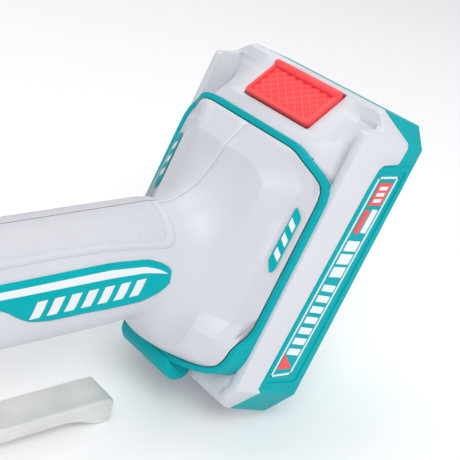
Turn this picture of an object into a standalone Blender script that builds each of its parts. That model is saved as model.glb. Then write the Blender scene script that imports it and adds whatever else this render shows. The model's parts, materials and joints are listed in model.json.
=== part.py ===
"""Cordless nibbler: straight grip, slide-on battery pack at the rear, vertical punch head at the front.

Lengths below are in millimetres and become metres where a mesh is made. The tool frame has its origin on the
battery seat: +X runs back along the grip, +Y is the right-hand side and +Z is up. The battery frame has the
same origin, with x along the pack's rails towards its release button and z from the pack into the tool.
"""

import math

import bmesh
import bpy
from mathutils import Euler, Matrix, Vector

MM = 0.001
GAP = 0.3  # clearance between pieces that touch
SEAM = 0.15  # half of the gap between the two housing halves

# ---- driving dimensions ----
PACK_TILT = 69.5  # degrees between the grip axis and the pack's rails
FLOOR = -81.5  # height of the guard's heel
NOSE = -264.1
TAIL = 45.3
AXIS_Z = -20.0  # grip and motor axis
GRIP_HALF_HEIGHT = 19.0
GRIP_HALF_WIDTH = 14.6
WALL = 2.6

FOOT_HALF_WIDTH = 36.3
FOOT_TRAILING = 22.2
FOOT_LEADING = -56.5
FOOT_BOW = 5.5  # the leading edge curves out this far in the middle
FOOT_CHAMFER_WIDTH = 24.4  # half-width of the straight trailing edge
FOOT_CHAMFER_START = 14.9
FOOT_STEP = 6.8  # the trailing edge of the foot sits this much higher than its sides
TRIM = 3.1  # height of the trim band
TRIM_CORNER = 8.8  # its height round the leading corners

PACK_HALF_WIDTH = 40.0
PACK_LEADING = -69.8
PACK_TRAILING = 46.5
PACK_DEPTH = 31.9
CASE_SPLIT = 12.0  # depth of the line between the two pack cases

BARREL_FRONT = -214.0
BARREL_RADIUS = 26.0
GEAR_Z = -2.5
PINION_PITCH = 3.5
GEAR_PITCH = 14.0
CRANK_THROW = 3.0
RAM_X = -241.0
DIE_TOP = -77.2
THROAT = 5.0

# ---- materials ----
COLOURS = {
    "white_plastic": ((0.78, 0.79, 0.82), 0.42, 0.0),
    "soft_white": ((0.74, 0.75, 0.79), 0.62, 0.0),
    "teal_plastic": ((0.0, 0.37, 0.40), 0.38, 0.0),
    "red_plastic": ((0.90, 0.06, 0.07), 0.35, 0.0),
    "cast_aluminium": ((0.56, 0.57, 0.55), 0.55, 1.0),
    "steel": ((0.55, 0.55, 0.56), 0.3, 1.0),
    "dark_plastic": ((0.03, 0.03, 0.035), 0.5, 0.0),
    "copper": ((0.72, 0.33, 0.16), 0.4, 1.0),
    "brass": ((0.75, 0.58, 0.25), 0.35, 1.0),
    "board_green": ((0.02, 0.18, 0.08), 0.45, 0.0),
    "cell_wrap": ((0.05, 0.20, 0.45), 0.4, 0.0),
    "clear_lens": ((0.85, 0.88, 0.90), 0.1, 0.0),
}

for old in list(bpy.data.objects):
    bpy.data.objects.remove(old, do_unlink=True)

PARTS = bpy.data.collections.new("cordless_nibbler")
CUTTERS = bpy.data.collections.new("cutters")
bpy.context.scene.collection.children.link(PARTS)
bpy.context.scene.collection.children.link(CUTTERS)
CUTTERS.hide_render = True


def make_material(name):
    colour, roughness, metallic = COLOURS[name]
    material = bpy.data.materials.new(name)
    material.use_nodes = True
    shader = material.node_tree.nodes["Principled BSDF"]
    shader.inputs["Base Color"].default_value = (*colour, 1.0)
    shader.inputs["Roughness"].default_value = roughness
    shader.inputs["Metallic"].default_value = metallic
    return material


MATERIALS = {name: make_material(name) for name in COLOURS}


def empty(name, location, rotation=(0, 0, 0), parent=None):
    """An empty at a place in millimetres, in its parent's frame."""
    anchor = bpy.data.objects.new(name, None)
    anchor.empty_display_size = 0.02
    anchor.location = Vector(location) * MM
    anchor.rotation_euler = Euler([math.radians(angle) for angle in rotation])
    anchor.parent = parent
    PARTS.objects.link(anchor)
    return anchor


TOOL = empty("tool_frame", (-(NOSE + TAIL) / 2, 0, -FLOOR))
PACK = empty("battery_frame", (0, 0, 0), (0, -PACK_TILT, 0), TOOL)


def to_tool(point):
    """A battery-frame point in the tool frame."""
    tilt = math.radians(PACK_TILT)
    x, y, z = point
    return (x * math.cos(tilt) - z * math.sin(tilt), y, x * math.sin(tilt) + z * math.cos(tilt))


def finish(bm, name, material, parent, origin=(0, 0, 0), cutter=False):
    """Turns a bmesh in millimetres of its parent's frame into an object whose origin is at a chosen point."""
    bmesh.ops.recalc_face_normals(bm, faces=bm.faces)
    bmesh.ops.transform(bm, matrix=Matrix.Translation(-Vector(origin)), verts=bm.verts)
    bmesh.ops.transform(bm, matrix=Matrix.Scale(MM, 4), verts=bm.verts)
    mesh = bpy.data.meshes.new(name)
    bm.to_mesh(mesh)
    bm.free()
    obj = bpy.data.objects.new(name, mesh)
    obj.location = Vector(origin) * MM
    obj.parent = parent
    if cutter:
        CUTTERS.objects.link(obj)
        obj.hide_render = True
        obj.display_type = "WIRE"
    else:
        PARTS.objects.link(obj)
        mesh.materials.append(MATERIALS[material])
        mesh.shade_smooth()
        mesh.set_sharp_from_angle(angle=math.radians(35))
    return obj


def box_mesh(low, high, bevel=0.0):
    bm = bmesh.new()
    bmesh.ops.create_cube(bm, size=1.0)
    low, high = Vector(low), Vector(high)
    size = high - low
    bmesh.ops.transform(bm, matrix=Matrix.Diagonal((*size, 1.0)), verts=bm.verts)
    bmesh.ops.transform(bm, matrix=Matrix.Translation((low + high) / 2), verts=bm.verts)
    if bevel:
        bmesh.ops.bevel(bm, geom=bm.edges[:], offset=bevel, segments=2, affect="EDGES", profile=0.6)
    return bm


def axis_matrix(axis):
    """Turns +Z onto the named axis."""
    quarter = math.pi / 2
    turns = {
        "Z": Matrix.Identity(4),
        "X": Matrix.Rotation(quarter, 4, "Y"),
        "Y": Matrix.Rotation(-quarter, 4, "X"),
    }
    return turns[axis]


def evaluated_mesh(guide, matrix):
    """The mesh a guide object makes with its modifiers, moved by a matrix; the guide is removed."""
    CUTTERS.objects.link(guide)
    bpy.context.view_layer.update()
    evaluated = guide.evaluated_get(bpy.context.evaluated_depsgraph_get())
    mesh = bpy.data.meshes.new_from_object(evaluated)
    bm = bmesh.new()
    bm.from_mesh(mesh)
    bmesh.ops.remove_doubles(bm, verts=bm.verts, dist=0.0001)
    bmesh.ops.transform(bm, matrix=matrix, verts=bm.verts)
    bpy.data.objects.remove(guide, do_unlink=True)
    bpy.data.meshes.remove(mesh)
    bmesh.ops.recalc_face_normals(bm, faces=bm.faces)
    return bm


def turned_mesh(profile, axis="Z", centre=(0, 0, 0), steps=24):
    """A profile of (radius, height) points turned round an axis, open at radius 0 or a loop."""
    count = len(profile)
    edges = [(index, index + 1) for index in range(count - 1)]
    if profile[0][0] > 0:
        edges.append((count - 1, 0))
    mesh = bpy.data.meshes.new("profile")
    mesh.from_pydata([(radius, 0, height) for radius, height in profile], edges, [])
    guide = bpy.data.objects.new("profile", mesh)
    screw = guide.modifiers.new("turn", "SCREW")
    screw.steps = screw.render_steps = steps
    screw.use_merge_vertices = True
    screw.merge_threshold = 0.0001
    return evaluated_mesh(guide, Matrix.Translation(centre) @ axis_matrix(axis))


def rod_mesh(radius, low, high, axis="Z", centre=(0, 0, 0), steps=24, chamfer=0.0):
    """A solid rod between two heights along an axis."""
    bm = bmesh.new()
    bmesh.ops.create_cone(bm, cap_ends=True, segments=steps, radius1=radius, radius2=radius, depth=high - low)
    if chamfer:
        rims = [edge for edge in bm.edges if abs(edge.verts[0].co.z - edge.verts[1].co.z) < 0.001]
        bmesh.ops.bevel(bm, geom=rims, offset=chamfer, segments=1, affect="EDGES", profile=0.5)
    place = Matrix.Translation(centre) @ axis_matrix(axis) @ Matrix.Translation((0, 0, (low + high) / 2))
    bmesh.ops.transform(bm, matrix=place, verts=bm.verts)
    return bm


def tube_mesh(outer, inner, low, high, axis="Z", centre=(0, 0, 0), steps=24):
    return turned_mesh([(outer, low), (outer, high), (inner, high), (inner, low)], axis, centre, steps)


def loft_mesh(rings):
    """Skins closed rings of equal length and caps both ends."""
    bm = bmesh.new()
    rows = [[bm.verts.new(point) for point in ring] for ring in rings]
    count = len(rings[0])
    for first, second in zip(rows, rows[1:]):
        for step in range(count):
            after = (step + 1) % count
            bm.faces.new((first[step], first[after], second[after], second[step]))
    bm.faces.new(rows[0])
    bm.faces.new(rows[-1])
    return bm


def loop_mesh(sections):
    """Skins closed sections into a closed ring, the last joined to the first."""
    bm = bmesh.new()
    rows = [[bm.verts.new(point) for point in ring] for ring in sections]
    count = len(sections[0])
    for first, second in zip(rows, rows[1:] + rows[:1]):
        for step in range(count):
            after = (step + 1) % count
            bm.faces.new((first[step], first[after], second[after], second[step]))
    return bm


def extrude_mesh(outline, low, high, plane="XZ", bevel=0.0):
    """A flat outline given thickness: XZ outlines run along Y, XY outlines along Z, YZ outlines along X."""
    curve = bpy.data.curves.new("outline", "CURVE")
    curve.dimensions = "2D"
    curve.fill_mode = "BOTH"
    curve.extrude = (high - low) / 2
    spline = curve.splines.new("POLY")
    spline.points.add(len(outline) - 1)
    for point, (a, b) in zip(spline.points, outline):
        point.co = (a, b, 0, 1)
    spline.use_cyclic_u = True
    columns = {"XZ": ((1, 0, 0), (0, 0, 1), (0, 1, 0)), "XY": ((1, 0, 0), (0, 1, 0), (0, 0, 1)),
               "YZ": ((0, 1, 0), (0, 0, 1), (1, 0, 0))}[plane]
    turn = Matrix(columns).transposed().to_4x4()
    place = turn @ Matrix.Translation((0, 0, (low + high) / 2))
    bm = evaluated_mesh(bpy.data.objects.new("outline", curve), place)
    bmesh.ops.dissolve_limit(bm, angle_limit=math.radians(1), verts=bm.verts, edges=bm.edges)
    if bevel:
        rim = [edge for edge in bm.edges if edge.calc_face_angle(0) > math.radians(60)]
        bmesh.ops.bevel(bm, geom=rim, offset=bevel, segments=1, affect="EDGES", profile=0.5)
    return bm


def helix_mesh(radius, wire, length, turns, centre, axis="Z"):
    """A coil spring: a helical curve with a round bevel."""
    steps = 12 * turns
    curve = bpy.data.curves.new("coil", "CURVE")
    curve.dimensions = "3D"
    curve.bevel_depth = wire
    curve.bevel_resolution = 1
    curve.use_fill_caps = True
    spline = curve.splines.new("POLY")
    spline.points.add(steps)
    for step, point in enumerate(spline.points):
        angle = 2 * math.pi * turns * step / steps
        point.co = (radius * math.cos(angle), radius * math.sin(angle), length * step / steps, 1)
    return evaluated_mesh(bpy.data.objects.new("coil", curve), Matrix.Translation(centre) @ axis_matrix(axis))


def boolean(obj, other, operation="DIFFERENCE"):
    modifier = obj.modifiers.new(other.name, "BOOLEAN")
    modifier.operation = operation
    modifier.object = other
    modifier.solver = "EXACT"


def cut(obj, bm, name, parent):
    boolean(obj, finish(bm, name, None, parent, cutter=True))


def join(obj, bm, name, parent):
    boolean(obj, finish(bm, name, None, parent, cutter=True), "UNION")


# ---- housing outline ----
STEPS_TRAILING, STEPS_CHAMFER, STEPS_SIDE, STEPS_CORNER, STEPS_LEADING = 3, 2, 5, 3, 3
CORNER_ANGLES = (0, 34, 58, 118, 152, 180)


def foot_half_outline(inset=0.0):
    """(x, y) points of the foot's edge on the +Y side, from the trailing middle to the leading middle."""
    corners = [
        (FOOT_TRAILING - inset, 0),
        (FOOT_TRAILING - inset, FOOT_CHAMFER_WIDTH - inset * 0.6),
        (FOOT_CHAMFER_START - inset * 0.3, FOOT_HALF_WIDTH - inset),
        (-43.7, FOOT_HALF_WIDTH - inset),
        (FOOT_LEADING + inset, 28.0 - inset * 0.6),
        (FOOT_LEADING + inset, 0),
    ]
    counts = (STEPS_TRAILING, STEPS_CHAMFER, STEPS_SIDE, STEPS_CORNER, STEPS_LEADING)
    points = []
    for (start, end, count) in zip(corners, corners[1:], counts):
        for step in range(count):
            share = step / count
            x = start[0] + (end[0] - start[0]) * share
            y = start[1] + (end[1] - start[1]) * share
            if count == STEPS_CORNER and start[0] < 0 and end[1] > 0:
                bulge = 3.2 * math.sin(math.pi * share)
                x, y = x - bulge * 0.55, y + bulge * 0.83
            if start[0] == end[0] < 0:
                x -= FOOT_BOW * (1 - (y / start[1]) ** 2)
            points.append((x, min(y, FOOT_HALF_WIDTH - inset)))
    points.append((corners[-1][0] - FOOT_BOW, 0))
    return points


def outline_angles():
    counts = (STEPS_TRAILING, STEPS_CHAMFER, STEPS_SIDE, STEPS_CORNER, STEPS_LEADING)
    angles = []
    for start, end, count in zip(CORNER_ANGLES, CORNER_ANGLES[1:], counts):
        angles += [start + (end - start) * step / count for step in range(count)]
    return angles + [CORNER_ANGLES[-1]]


def oval_half_outline(high, low, half_width, squareness):
    """(height, y) points of a superellipse, from its top to its bottom on the +Y side."""
    middle, half = (high + low) / 2, (high - low) / 2
    points = []
    for angle in outline_angles():
        c, s = math.cos(math.radians(angle)), math.sin(math.radians(angle))
        up = math.copysign(abs(c) ** (2 / squareness), c)
        out = abs(s) ** (2 / squareness)
        points.append((middle + half * up, half_width * out))
    return points


# Barrel and grip sections: x, top, bottom, half-width.
GRIP_SECTIONS = (
    (BARREL_FRONT, 6.0, -46.0, 25.5),
    (-196.0, 6.6, -46.6, 26.0),
    (-168.0, 6.0, -46.0, 25.6),
    (-156.0, 2.6, -44.0, 20.5),
    (-146.0, 0.2, -41.6, 16.0),
    (-128.0, -0.6, -40.4, 15.2),
    (-90.0, -0.9, -41.6, 14.7),
    (-55.0, -1.0, -41.8, 14.3),
)
# Neck and foot sections: height above the battery seat, trailing and leading x, half-width, squareness, and
# how much higher the section runs at its trailing and at its leading edge.
NECK_SECTIONS = (
    (30.0, -12.4, -55.2, 14.6, 2.2, 0.0, 0.0),
    (24.5, -8.8, -55.0, 15.3, 2.2, 0.0, 0.0),
    (20.0, -3.4, -57.2, 17.0, 2.4, 0.0, 0.0),
    (16.8, 4.5, -59.2, 19.4, 2.8, 0.3, 0.4),
    (14.0, 12.8, -60.6, 22.5, 3.4, 1.6, 1.2),
    (10.2, 18.4, -61.6, 26.3, 4.4, 2.1, 2.8),
    (6.5, 20.7, -61.9, 30.0, 5.0, 4.6, 4.4),
)


def smooth(value, start, end):
    share = max(0.0, min(1.0, (value - start) / (end - start)))
    return share * share * (3 - 2 * share)


def trim_top(x, y):
    """Height of the line between the housing and the trim band, at a point on the foot's edge."""
    side = TRIM + (TRIM_CORNER - TRIM) * smooth(-x, 37.0, 46.5)
    trailing = FOOT_STEP * smooth(x, FOOT_CHAMFER_START, FOOT_TRAILING)
    return side + trailing


def trim_bottom(x, y):
    return FOOT_STEP * smooth(x, FOOT_CHAMFER_START, FOOT_TRAILING)


def half_rings(inset, side):
    """The housing's rings on one side, front to back, in the tool frame."""
    rings = []
    for x, top, bottom, half_width in GRIP_SECTIONS:
        outline = oval_half_outline(top - inset, bottom + inset, half_width - inset, 2.25)
        rings.append([(x, y, z) for z, y in outline])
    for height, trailing, leading, half_width, squareness, lift, lead_lift in NECK_SECTIONS:
        outline = oval_half_outline(trailing - inset, leading + inset, half_width - inset, squareness)
        rings.append([to_tool((x, y, height + lift * smooth(x, 2.0, 20.0)
                               + lead_lift * smooth(-x, 34.0, 46.5)))
                      for x, y in outline])
    last = foot_half_outline(inset)
    rings.append([to_tool((x, y, trim_top(x, y) + 2 * GAP)) for x, y in last])
    return [[(x, side * max(y, SEAM), z) for x, y, z in ring] for ring in rings]


def make_housing(name, side):
    outer = half_rings(0.0, side)
    inner = half_rings(WALL, side)
    rings = [out + list(reversed(into)) for out, into in zip(outer, inner)]
    obj = finish(loft_mesh(rings), name, "white_plastic", TOOL)
    return obj


left_housing = make_housing("left_housing", -1)
right_housing = make_housing("right_housing", 1)

# Trigger slot under the grip, lock-off slot through both sides and the air vents of the barrel.
TRIGGER_SLOT = ((-148.0, -7.0, -50.0), (-115.0, 7.0, -34.0))
LOCK_AXIS = (-149.5, 0, AXIS_Z)
LENS_X = -200.5
VENT_COUNT, VENT_PITCH, VENT_START = 4, 6.0, -176.0
for side, housing in ((-1, left_housing), (1, right_housing)):
    word = housing.name.split("_")[0]
    cut(housing, box_mesh(*TRIGGER_SLOT), word + "_trigger_slot", TOOL)
    low, high = sorted((side * 5.0, side * 40.0))
    cut(housing, rod_mesh(4.4, low, high, "Y", LOCK_AXIS, 20), word + "_lock_hole", TOOL)
    cut(housing, rod_mesh(3.6, -60.0, -40.0, "Z", (LENS_X, 0, 0), 16), word + "_lens_hole", TOOL)
    low, high = sorted((side * 18.0, side * 34.0))
    for row in range(VENT_COUNT):
        x = VENT_START - row * VENT_PITCH
        cut(housing, box_mesh((x - 1.3, low, -30.0), (x + 1.3, high, -8.0)), f"{word}_vent_{row}", TOOL)

# ---- soft grip panels and badges: thin shells laid on the grip ----
PANEL_LIFT = 1.3


def grip_section(x):
    """Top, bottom and half-width of the grip at x, between the sections."""
    for first, second in zip(GRIP_SECTIONS, GRIP_SECTIONS[1:]):
        if first[0] <= x <= second[0]:
            share = (x - first[0]) / (second[0] - first[0])
            return [a + (b - a) * share for a, b in zip(first[1:], second[1:])]
    return GRIP_SECTIONS[-1][1:]


def grip_point(x, angle, lift):
    """A point on the grip's skin: angle runs from the top (0) to the bottom (180)."""
    top, bottom, half_width = grip_section(x)
    middle, half = (top + bottom) / 2, (top - bottom) / 2
    c, s = math.cos(math.radians(angle)), math.sin(math.radians(angle))
    power = 2 / 2.25
    up = math.copysign(abs(c) ** power, c)
    out = abs(s) ** power
    return (x, (half_width + lift) * out, middle + (half + lift) * up)


def skin_patch(columns, side, lift, thickness):
    """A curved plate on the grip: columns are (x, first angle, last angle)."""
    rings = []
    steps = 7
    for x, first, last in columns:
        angles = [first + (last - first) * step / steps for step in range(steps + 1)]
        outer = [grip_point(x, angle, lift + thickness) for angle in angles]
        inner = [grip_point(x, angle, lift) for angle in reversed(angles)]
        rings.append([(px, side * max(py, SEAM), pz) for px, py, pz in outer + inner])
    return loft_mesh(rings)


# x, upper angle and lower angle of each panel.
PANEL_COLUMNS = (
    (-137.0, 0.0, 56.0), (-132.0, 0.0, 72.0), (-110.0, 0.0, 76.0), (-84.0, 0.0, 74.0),
    (-66.0, 0.0, 68.0), (-60.0, 0.0, 64.0), (-57.0, 0.0, 50.0),
)
BADGE_COLUMNS = (
    (-135.0, 96.0, 104.0), (-128.0, 92.0, 118.0), (-110.0, 90.0, 128.0), (-90.0, 88.0, 132.0),
    (-72.0, 84.0, 124.0), (-62.0, 84.0, 112.0), (-57.0, 92.0, 101.0),
)
for side, word in ((-1, "left"), (1, "right")):
    finish(skin_patch(PANEL_COLUMNS, side, GAP, PANEL_LIFT), word + "_grip_panel", "soft_white", TOOL)
    finish(skin_patch(BADGE_COLUMNS, side, GAP, 0.6), word + "_badge", "teal_plastic", TOOL)

# ---- foot trim band and rest bumper ----
BAND = 2.4
outline = foot_half_outline()
inner_outline = foot_half_outline(BAND)
sections = []
for (x, y), (ix, iy) in zip(outline, inner_outline):
    low, high, inner_high = trim_bottom(x, y), trim_top(x, y), min(trim_top(x, y), trim_top(ix, iy))
    sections.append([(x, y, low), (x, y, high), (ix, iy, inner_high), (ix, iy, low)])
mirrored = [[(x, -y, z) for x, y, z in section] for section in reversed(sections[1:-1])]
foot_trim = finish(loop_mesh(sections + mirrored), "foot_trim", "teal_plastic", PACK)

BUMPER_HALF_WIDTH = 14.5
bumper_outline = [(-62.4, 9.6), (-66.5, 8.8), (-69.6, 6.2), (-70.6, 3.0), (-70.2, -1.0), (-68.0, -3.2),
                  (-64.4, -3.4), (-62.4, -1.4)]
bumper = extrude_mesh(bumper_outline, -BUMPER_HALF_WIDTH, BUMPER_HALF_WIDTH, "XZ", 1.2)
finish(bumper, "rest_bumper", "teal_plastic", PACK)

# ---- tool side of the battery interface ----
shoe = finish(box_mesh((-44.0, -24.4, 6.8), (8.0, 24.4, 8.6)), "battery_shoe", "dark_plastic", PACK)
for side in (-1, 1):
    low, high = sorted((side * 22.2, side * 24.4))
    join(shoe, box_mesh((-44.0, low, 0.8), (8.0, high, 7.4)), f"shoe_wall_{side + 2}", PACK)
    low, high = sorted((side * 19.2, side * 23.4))
    join(shoe, box_mesh((-43.0, low, 1.6), (7.0, high, 3.0)), f"shoe_rail_{side + 2}", PACK)
block = finish(box_mesh((-53.0, -16.0, 0.8), (-48.4, 16.0, 6.2)), "tool_terminal_block", "dark_plastic", PACK)
for row, y in enumerate((-11.0, 0.0, 11.0)):
    join(block, box_mesh((-49.5, y - 0.4, 1.4), (-34.0, y + 0.4, 5.6)), f"blade_{row}", PACK)
finish(box_mesh((-42.0, -12.0, 10.2), (0.0, 12.0, 11.8)), "controller_board", "board_green", PACK)

# ---- battery pack ----
PACK_TOP = -0.4  # top of the pack's shoulders, just under the foot
CHAMFER_SPAN = 11.4


def pack_half_width(x):
    leading = PACK_HALF_WIDTH - 8.4 * max(0.0, (-x - 58.4) / CHAMFER_SPAN)
    trailing = PACK_HALF_WIDTH - 7.0 * max(0.0, (x - 39.5) / 7.0)
    return min(leading, trailing)


# x, height of the middle, height of the shoulder; the hump carries the release button.
PACK_SECTIONS = (
    (-69.8, -9.0, -9.0), (-66.2, -2.6, -2.6), (-61.0, PACK_TOP, PACK_TOP), (22.5, PACK_TOP, PACK_TOP),
    (22.6, 6.3, PACK_TOP), (36.0, -2.9, PACK_TOP), (37.2, -3.8, -5.4), (41.9, -7.0, -7.9), (46.4, -9.2, -9.5),
)
rings = []
for x, middle, shoulder in PACK_SECTIONS:
    w = pack_half_width(x)
    share = min(1.0, (w - 3.6) / 33.4)
    facet = min(middle, max(shoulder, middle - 4.2))
    half = [(0, middle), (24.6 * share, middle), (31.0 * share, facet), (33.0 * share, shoulder),
            (w - 2.5, shoulder), (w, shoulder - 2.0), (w, -CASE_SPLIT + GAP)]
    ring = half + [(-y, z) for y, z in reversed(half[1:])]
    rings.append([(x, y, z) for y, z in ring])
upper = finish(loft_mesh(rings), "battery_upper_case", "white_plastic", PACK)
join(upper, box_mesh((-46.0, -21.0, -3.0), (22.9, 21.0, 6.0)), "rail_block", PACK)
for side in (-1, 1):
    low, high = sorted((side * 18.4, side * 24.0))
    cut(upper, box_mesh((-50.0, low, 0.9), (21.0, high, 3.7)), f"rail_groove_{side + 2}", PACK)
for row, y in enumerate((-11.0, 0.0, 11.0)):
    cut(upper, box_mesh((-50.0, y - 1.2, 0.6), (-31.0, y + 1.2, 8.0)), f"terminal_slot_{row}", PACK)
cut(upper, box_mesh((-75.0, -16.0, -5.4), (-55.0, 16.0, 5.0)), "bumper_recess", PACK)

lower_outline = []
for x in (-69.8, -58.4, 39.5, 45.4):
    lower_outline.append((x, pack_half_width(x) if x < 45 else 34.2))
lower_ring = lower_outline + [(x, -y) for x, y in reversed(lower_outline)]
lower_block = extrude_mesh(lower_ring, -PACK_DEPTH, -CASE_SPLIT, "XY", 1.5)
lower = finish(lower_block, "battery_lower_case", "teal_plastic", PACK)

# Cell chamber inside both cases, open between them.
cut(upper, box_mesh((-64.0, -35.5, -20.0), (34.0, 35.5, -3.4)), "upper_chamber", PACK)
cut(lower, box_mesh((-64.0, -35.5, -PACK_DEPTH + 2.4), (38.0, 35.5, -5.0)), "lower_chamber", PACK)
CELL_RADIUS = 9.1
for index in range(5):
    x = -53.6 + index * 19.2
    cell = rod_mesh(CELL_RADIUS, -32.5, 32.5, "Y", (x, 0, -20.2), 20, 0.6)
    finish(cell, f"cell_{index + 1}", "cell_wrap", PACK)
finish(box_mesh((-40.0, -24.0, -8.8), (26.0, 24.0, -7.2)), "cell_board", "board_green", PACK)
terminals = finish(box_mesh((-44.0, -15.0, -6.2), (-30.0, 15.0, -4.4)), "battery_terminals", "brass", PACK)

# ---- release button on the pack's hump ----
RAMP = math.degrees(math.atan2(13.8, 19.7))
BUTTON = empty("release_axis", (37.0, 0, -3.6), (0, RAMP, 0), PACK)
BUTTON_HALF_WIDTH = 16.9
BUTTON_REACH = 8.9
pocket = Vector((BUTTON_REACH + 0.5, BUTTON_HALF_WIDTH + 0.5, 0))
cut(upper, box_mesh(-pocket - Vector((0, 0, 4.6)), pocket + Vector((0, 0, 6.0))), "button_pocket", BUTTON)
plate = box_mesh((-BUTTON_REACH, -BUTTON_HALF_WIDTH, -1.2), (BUTTON_REACH, BUTTON_HALF_WIDTH, 1.6), 0.6)
button = finish(plate, "release_button", "red_plastic", BUTTON)
cut(button, box_mesh((-6.9, -14.6, 0.4), (6.6, 14.6, 3.0)), "button_field", BUTTON)
join(button, rod_mesh(1.5, -16.6, 16.6, "Y", (7.2, 0, 1.4), 12), "button_roll", BUTTON)
finish(box_mesh((-8.4, -8.0, -2.1), (-3.0, 8.0, -1.5)), "latch_hook", "dark_plastic", BUTTON)

# ---- motor ----
finish(tube_mesh(19.0, 11.2, -200.0, -168.0, "X", (0, 0, AXIS_Z), 28), "motor_stator", "copper", TOOL)
MOTOR = (-184.0, 0, AXIS_Z)
finish(tube_mesh(10.6, 2.8, -199.0, -169.0, "X", (0, 0, AXIS_Z), 24), "motor_rotor", "steel", TOOL, MOTOR)
finish(rod_mesh(2.5, -221.2, -155.8, "X", (0, 0, AXIS_Z), 16), "motor_shaft", "steel", TOOL, MOTOR)
finish(tube_mesh(8.0, 2.8, -160.0, -156.0, "X", (0, 0, AXIS_Z), 20), "motor_rear_bearing", "steel", TOOL)
finish(tube_mesh(8.0, 2.8, -208.0, -203.5, "X", (0, 0, AXIS_Z), 20), "motor_front_bearing", "steel", TOOL)


def gear_outline(pitch, teeth, addendum, dedendum, root, tip, centre):
    """Trapezoid teeth round a pitch circle, as (y, z) points; root and tip in tooth pitches."""
    points = []
    for tooth in range(teeth):
        for share, radius in ((-root, pitch - dedendum), (-tip, pitch + addendum),
                              (tip, pitch + addendum), (root, pitch - dedendum)):
            angle = 2 * math.pi * (tooth + share) / teeth
            points.append((centre[0] + radius * math.cos(angle), centre[1] + radius * math.sin(angle)))
    return points


def turned_outline(points, centre, degrees):
    angle = math.radians(degrees)
    c, s = math.cos(angle), math.sin(angle)
    moved = []
    for y, z in points:
        dy, dz = y - centre[0], z - centre[1]
        moved.append((centre[0] + dy * c - dz * s, centre[1] + dy * s + dz * c))
    return moved


FAN_BLADES, FAN_X, BLADE_PITCH = 7, -163.5, 28
hub = tube_mesh(5.0, 2.8, FAN_X - 2.9, FAN_X + 2.9, "X", (0, 0, AXIS_Z), 16)
fan = finish(hub, "cooling_fan", "dark_plastic", TOOL, MOTOR)
for blade in range(FAN_BLADES):
    vane = box_mesh((-2.5, 4.4, -0.7), (2.5, 17.5, 0.7))
    turn = Matrix.Rotation(2 * math.pi * blade / FAN_BLADES, 4, "X")
    pitch = Matrix.Rotation(math.radians(BLADE_PITCH), 4, "Y")
    place = Matrix.Translation((FAN_X, 0, AXIS_Z)) @ turn @ pitch
    bmesh.ops.transform(vane, matrix=place, verts=vane.verts)
    join(fan, vane, f"fan_vane_{blade}", TOOL)

# ---- gear train ----
PINION_TEETH, GEAR_TEETH = 7, 28
pinion = gear_outline(PINION_PITCH, PINION_TEETH, 0.7, 1.1, 0.26, 0.08, (0, AXIS_Z))
pinion = turned_outline(pinion, (0, AXIS_Z), 90 + 180 / PINION_TEETH)
pinion_obj = finish(extrude_mesh(pinion, -231.0, -221.5, "YZ"), "pinion", "steel", TOOL, MOTOR)
gear = gear_outline(GEAR_PITCH, GEAR_TEETH, 0.6, 1.1, 0.25, 0.08, (0, GEAR_Z))
gear = turned_outline(gear, (0, GEAR_Z), -90)
CRANK = (-226.0, 0, GEAR_Z)
gear_obj = finish(extrude_mesh(gear, -230.4, -222.6, "YZ"), "drive_gear", "steel", TOOL, CRANK)
cut(gear_obj, rod_mesh(4.3, -240.0, -215.0, "X", (0, 0, GEAR_Z), 20), "gear_bore", TOOL)
crank = finish(rod_mesh(4.0, -231.0, -212.0, "X", (0, 0, GEAR_Z), 20), "crank_shaft", "steel", TOOL, CRANK)
join(crank, rod_mesh(8.4, -233.6, -230.7, "X", (0, 0, GEAR_Z), 24), "crank_disc", TOOL)
join(crank, rod_mesh(3.0, -247.0, -233.0, "X", (0, 0, GEAR_Z + CRANK_THROW), 16), "crank_pin", TOOL)
roller = tube_mesh(5.5, 3.2, -246.4, -235.6, "X", (0, 0, GEAR_Z + CRANK_THROW), 20)
finish(roller, "crank_roller", "steel", TOOL, CRANK)
finish(tube_mesh(9.5, 4.3, -220.6, -216.0, "X", (0, 0, GEAR_Z), 22), "gear_bearing", "steel", TOOL)

# ---- ram, punch and die ----
RAM = (RAM_X, 0, GEAR_Z)
YOKE_HALF_WIDTH, YOKE_BELOW, YOKE_ABOVE = 12.2, 12.4, 18.2
ram = finish(box_mesh((RAM_X - 5.6, -YOKE_HALF_WIDTH, GEAR_Z - YOKE_BELOW),
                      (RAM_X + 5.6, YOKE_HALF_WIDTH, GEAR_Z + YOKE_ABOVE), 0.8), "ram_yoke", "steel", TOOL, RAM)
cut(ram, box_mesh((RAM_X - 8, -9.2, GEAR_Z - 9.2), (RAM_X + 8, 9.2, GEAR_Z + 15.0)), "yoke_window", TOOL)
join(ram, rod_mesh(6.0, -63.6, GEAR_Z - YOKE_BELOW + 2, "Z", (RAM_X, 0, 0), 24), "ram_rod", TOOL)
punch = finish(rod_mesh(2.6, -71.9, -63.9, "Z", (RAM_X, 0, 0), 20), "punch", "steel", TOOL, RAM)
finish(tube_mesh(10.0, 6.2, -57.0, -30.5, "Z", (RAM_X, 0, 0), 28), "guide_bush", "brass", TOOL)

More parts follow.
